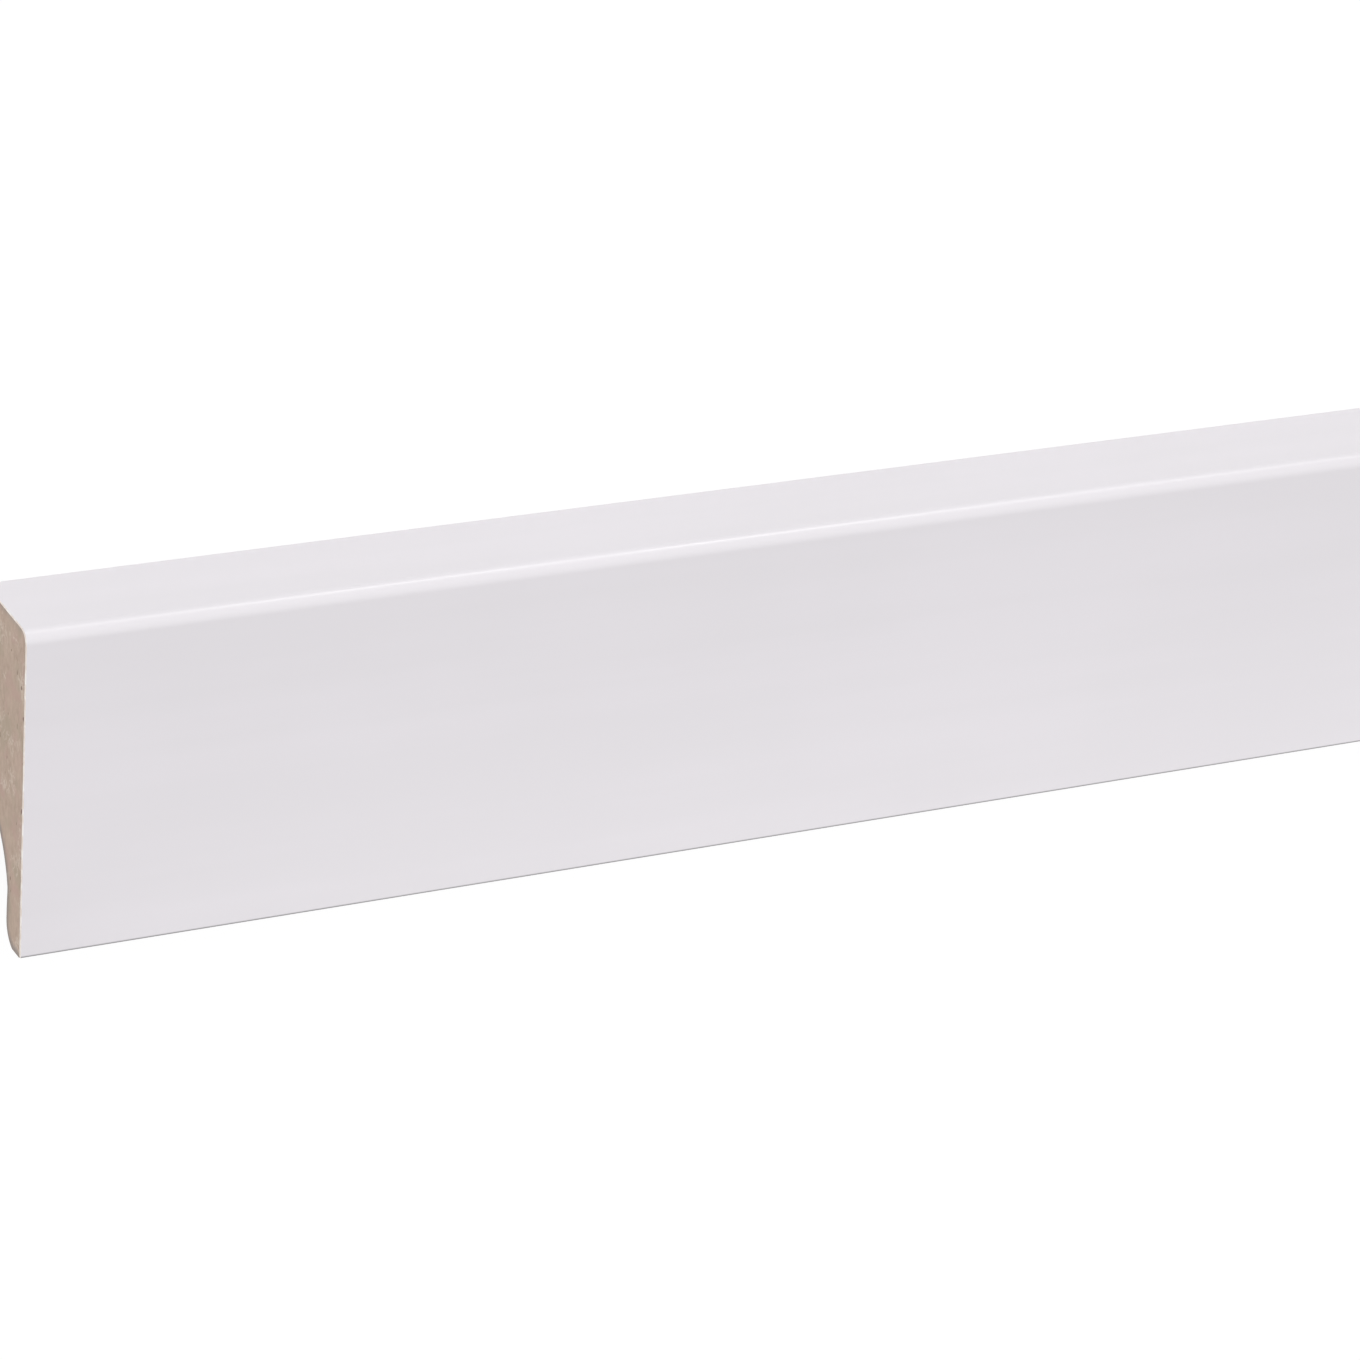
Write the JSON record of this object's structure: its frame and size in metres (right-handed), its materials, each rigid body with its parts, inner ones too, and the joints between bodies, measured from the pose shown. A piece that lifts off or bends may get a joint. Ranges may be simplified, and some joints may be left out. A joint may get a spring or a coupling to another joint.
{
  "type": "skirting board length",
  "caption": "Straight length of plain MDF skirting board, coated white, with a rounded nose at its top edge and a cable cove behind its foot.",
  "frame": {"origin": "on the floor, in the middle of the board's length and height, with the board lying on its flat back", "axes": "+X along the board, +Y towards its top edge, +Z out of its white show face"},
  "size_m": [2.4, 0.058, 0.019],
  "materials": {
    "white_coated_mdf": "satin white coating on the show face, nose and top; bare beige MDF on the sawn ends and the back"
  },
  "bodies": {
    "root": {"skirting_board": "white_coated_mdf"}
  },
  "joints": []
}
